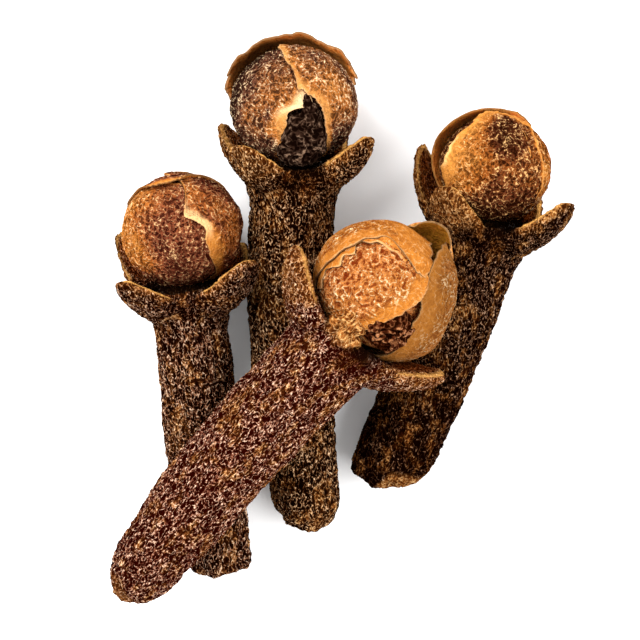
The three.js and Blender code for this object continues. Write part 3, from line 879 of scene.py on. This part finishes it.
def petal_finish(clove):
    """Papery skin: its body goes from dark to golden as its marks say, pale along the tops of the wrinkles,
    partly as painted highlights, and dark between them as painted shade in the valleys."""
    dark, brown, amber, gold, cream, underside = PETAL_SKINS[clove]

    def skin(pen):
        own = pen.marked("own", output=1)
        gilt, dusk = pen.marked("gilt"), pen.marked("dusk")
        grain = pen.speckle(own, 12, 2.0, 0.6)
        patches = pen.speckle(own, 1.6, 3.0, 0.6)
        crest = pen.crests(own, BUDS[clove]["fine"]) * 0.58 + pen.crests(own, 11) * 0.42
        relief = crest * 0.55 + pen.beads(own, 7.5) * 0.12 + pen.marked("ridge") * 0.22 + (grain - 0.5) * 0.3
        body = gilt * 0.5 - dusk * 0.34 + (patches - 0.5) * 0.5 + (grain - 0.5) * 0.3 + 0.36
        colour = body.ramp((0, dark), (0.34, brown), (0.62, amber), (0.9, gold))
        # Painted shade: the valleys between the wrinkles are darkened.
        valley = relief.ramp((0.02, (1, 1, 1, 1)), (0.3, (0, 0, 0, 1)))
        colour = colour.mixed(valley * (0.95 - gilt * 0.65 + dusk * 0.2), dark)
        # The pale lines on the wrinkle tops are partly the skin's own colour and partly painted highlights.
        line = relief.ramp((0.46, (0, 0, 0, 1)), (0.68, (1, 1, 1, 1)))
        colour = colour.mixed(line * (0.85 - gilt * 0.65 - dusk * 0.15), cream)
        under = relief * 0.5 + grain
        inside = under.ramp((0.2, dark), (0.6, underside), (1, gold))
        colour = colour.mixed(pen.marked("inside"), inside)
        # The shade mark turns the petal towards SHADED; on an inner face that is partly painted shade.
        colour = colour.mixed(pen.marked("rim") * 0.8, cream).mixed(pen.marked("shade"), SHADED)
        calm = 1 - gilt * 0.6
        return colour, (crest * 0.075 + grain * 0.03) * calm, (relief - 0.5) * calm

    return new_finish(f"{clove} petal skin", skin, 0.55)


def dress_bud(clove):
    """A bud head: the core and its petals, joined in one mesh."""
    bud = BUDS[clove]
    seed = 1000 + 100 * list(CLOVES).index(clove)
    shells = [core_ball(bud)]
    for number, petal in enumerate(PETALS[clove]):
        shells.append(petal_shell(bud, petal, seed + 40 * number))
    points, quads = joined([shell[:2] for shell in shells])
    mesh = bare_mesh(f"{clove}_petals", into_heap(points, clove), quads)
    for name in shells[0][2]:
        mark(mesh, name, np.concatenate([marks[name] for _, _, marks in shells]))
    mesh.materials.append(petal_finish(clove))
    piece = bpy.data.objects.new(f"{clove}_petals", mesh)
    bpy.context.scene.collection.objects.link(piece)
    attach(piece, "root")
    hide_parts(f"{clove}_bud")


for clove in CLOVES:
    dress_bud(clove)

# ---------------------------------------------------------------------------------------------------
# Stamens. Where two petals gape, the dried stamens of the flower show: thin dark threads that end in a
# small pollen sac, packed round the style. In the top clove they have stuck together in one dark tongue,
# and in the front clove single threads still lie curled over the rest.
# ---------------------------------------------------------------------------------------------------

# at and along give the direction in which the knot faces out of the bud; depth, width and length are its
# half sizes, taper is how much narrower it gets towards the bud's top, notch how much of the top's left
# half is missing, and threads how many single ones lie on it.
KNOTS = {
    "top": {
        "at": 14, "along": -28, "depth": 0.7, "width": 0.86, "length": 1.46, "taper": 0.44, "notch": 0.75,
        "threads": 3,
    },
    "front": {
        "at": 30, "along": -20, "depth": 0.62, "width": 0.86, "length": 0.86, "taper": 0.1, "notch": 0,
        "threads": 9,
    },
}
# sac is the radius of the swollen end, and curl how far a thread turns over its length.
THREAD = {"radius": 0.065, "sac": 0.12, "length": 1.4, "curl": 2.2}

# Colours in the folds, on the threads and on their tops; the fold colour is partly painted shade and the top
# colour partly a painted highlight.
KNOT_SKINS = {
    "top": (srgb(12, 4, 2), srgb(42, 26, 18), srgb(134, 106, 84)),
    "front": (srgb(22, 4, 0), srgb(64, 27, 12), srgb(160, 104, 62)),
}


def out_of_knot(points, bud, knot):
    """Carries points from a knot's own axes, x out of the bud and z towards its top, into the clove's."""
    at, along = np.radians([knot["at"], knot["along"]])
    facing = np.array([np.cos(along) * np.cos(at), np.cos(along) * np.sin(at), np.sin(along)])
    sideways = np.array([-np.sin(at), np.cos(at), 0])
    middle = facing * (bud_reach(bud, facing[None])[0] - 0.5 * knot["depth"]) + (0, 0, bud["centre"])
    return points @ np.array([facing, sideways, np.cross(facing, sideways)]) + middle


def knot_core(knot, seed):
    """The lump itself: a ball, stretched to the knot's sizes, tapered, and pushed out into round bumps."""
    rows, columns = 110, 120
    round_points, turn = ball(rows, columns)
    level = round_points[:, 2]
    width = knot["width"] * (1 - knot["taper"] * level)
    width *= 1 - knot["notch"] * step_up(0.5, 0.6, level) * (turn > np.pi)
    points = round_points * np.stack([knot["depth"] + 0 * level, width, knot["length"] + 0 * level], -1)
    bumps = 0.5 - np.abs(noise(points * 2.6, seed)) + 0.35 * (0.5 - np.abs(noise(points * 5.6, seed + 1)))
    points += round_points * (0.14 * bumps - 0.05)[:, None]
    return points, grid_faces(rows, columns, wrapped=True), bumps


def knot_threads(knot, seed):
    """Threads as thin tubes with a swollen end.

    Each path wanders over the knot's outer face: its heading turns steadily, a hyperbolic tangent keeps it
    on the face, and its place there gives its depth, as on a ball.
    """
    count, stations, sides = knot["threads"], 16, 6
    dice = np.random.default_rng(seed)
    share = np.linspace(0, 1, stations)
    start = dice.uniform(0, 2 * np.pi, (count, 1))
    heading = start + dice.uniform(-1, 1, (count, 1)) * THREAD["curl"] * (share - 0.5)
    place = dice.uniform(-0.5, 0.5, (2, count, 1))
    step = THREAD["length"] * dice.uniform(0.5, 1, (count, 1)) / stations
    u = 0.85 * np.tanh(place[0] + np.cumsum(np.cos(heading) * step, 1))
    v = 0.85 * np.tanh(place[1] + np.cumsum(np.sin(heading) * step, 1))
    out = np.sqrt(np.maximum(0.04, 1 - u**2 - v**2)) + dice.uniform(0.02, 0.2, (count, 1))
    width = knot["width"] * (1 - knot["taper"] * v)
    path = np.stack([out * knot["depth"], u * width, v * knot["length"]], -1)
    tangent = np.gradient(path, axis=1)
    tangent /= np.linalg.norm(tangent, axis=-1, keepdims=True)
    normal = np.stack([out, u, v], -1)
    right = np.cross(normal, tangent)
    right /= np.linalg.norm(right, axis=-1, keepdims=True)
    above = np.cross(tangent, right)
    closing = np.sqrt(1 - (2 * share - 1) ** 8)
    radius = (THREAD["radius"] + (THREAD["sac"] - THREAD["radius"]) * step_up(0.8, 0.9, share)) * closing
    turn = np.arange(sides) * 2 * np.pi / sides
    ring = right[:, :, None] * np.cos(turn)[:, None] + above[:, :, None] * np.sin(turn)[:, None]
    points = path[:, :, None] + ring * radius[:, None, None]
    faces = grid_faces(stations, sides, wrapped=True)
    quads = (faces + np.arange(count)[:, None, None] * stations * sides).reshape(-1, 4)
    return points.reshape(-1, 3), quads, 0.55 + 0.5 * np.tile(np.sin(turn), count * stations)


def knot_finish(clove):
    """Dry, brittle threads: dark in the folds, partly as painted shade, and pale brown on top, partly as
    painted highlights.
    """
    fold, thread, top = KNOT_SKINS[clove]

    def skin(pen):
        own = pen.marked("own", output=1)
        grain = pen.speckle(own, 9, 2.0, 0.6)
        crest = pen.crests(own, 5)
        tone = pen.marked("ridge") * 0.45 + crest * 0.35 + (grain - 0.5) * 0.5
        colour = tone.ramp((0.12, fold), (0.42, thread), (0.85, top))
        return colour, crest * 0.03 + grain * 0.03, (tone - 0.5) * 1.2

    return new_finish(f"{clove} stamens", skin, 0.6)


for number, (clove, knot) in enumerate(KNOTS.items()):
    core, core_faces, core_ridge = knot_core(knot, 300 + number)
    threads, thread_faces, thread_ridge = knot_threads(knot, 310 + number)
    points, quads = joined([(core, core_faces), (threads, thread_faces)])
    points = out_of_knot(points, BUDS[clove], knot)
    mesh = bare_mesh(f"{clove}_stamen_knot", into_heap(points, clove), quads)
    mark(mesh, "own", points)
    mark(mesh, "ridge", np.concatenate([core_ridge, thread_ridge]))
    mesh.materials.append(knot_finish(clove))
    piece = bpy.data.objects.new(f"{clove}_stamen_knot", mesh)
    bpy.context.scene.collection.objects.link(piece)
    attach(piece, "root")
    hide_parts(f"{clove}_stamens")

# ---------------------------------------------------------------------------------------------------
# Floor, light and camera. The heap lies on a plain white sheet that the light bleaches out, and the
# camera looks straight down on it from far above.
# ---------------------------------------------------------------------------------------------------

# The sheet's side in millimetres, how pale it is, and how strongly it glows.
FLOOR = {"side": 400, "pale": 0.93, "glow": 0.05}
floor_points = np.array([(-1, -1, 0), (1, -1, 0), (1, 1, 0), (-1, 1, 0)]) * FLOOR["side"] / 2 * MM
floor = bpy.data.objects.new("floor", bare_mesh("floor", floor_points, np.array([[0, 1, 2, 3]])))
bpy.context.scene.collection.objects.link(floor)
sheet = bpy.data.materials.new("white sheet")
sheet.use_nodes = True
paper = sheet.node_tree.nodes["Principled BSDF"].inputs
paper["Base Color"].default_value = (FLOOR["pale"], FLOOR["pale"], FLOOR["pale"], 1)
paper["Roughness"].default_value = 0.9
paper["Emission Color"].default_value = (1, 1, 1, 1)
paper["Emission Strength"].default_value = FLOOR["glow"]
floor.data.materials.append(sheet)

sky = bpy.data.worlds.new("soft room")
sky.use_nodes = True
sky.node_tree.nodes["Background"].inputs["Color"].default_value = (1, 1, 1, 1)
sky.node_tree.nodes["Background"].inputs["Strength"].default_value = 1.0
bpy.context.scene.world = sky


def soft_box(name, place, side, power):
    """A square lamp in millimetres that faces the heap."""
    lamp = bpy.data.lights.new(name, "AREA")
    lamp.size = side * MM
    lamp.energy = power
    holder = bpy.data.objects.new(name, lamp)
    holder.location = np.array(place) * MM
    holder.rotation_mode = "QUATERNION"
    holder.rotation_quaternion = holder.location.to_track_quat("Z", "Y")
    bpy.context.scene.collection.objects.link(holder)


soft_box("key", place=(-90, 80, 125), side=130, power=0.5)
soft_box("fill", place=(120, -60, 130), side=150, power=0.42)

# The camera's place and its lens, in millimetres.
CAMERA = {"x": -0.80, "y": 0.02, "height": 200, "lens": 311.85}
camera = bpy.data.objects.new("camera", bpy.data.cameras.new("camera"))
camera.data.sensor_width = 36
camera.data.lens = CAMERA["lens"]
camera.data.clip_start = 0.01
camera.data.clip_end = 2
camera.location = (CAMERA["x"] * MM, CAMERA["y"] * MM, CAMERA["height"] * MM)
bpy.context.scene.collection.objects.link(camera)
bpy.context.scene.camera = camera
bpy.context.scene.view_settings.view_transform = "Standard"
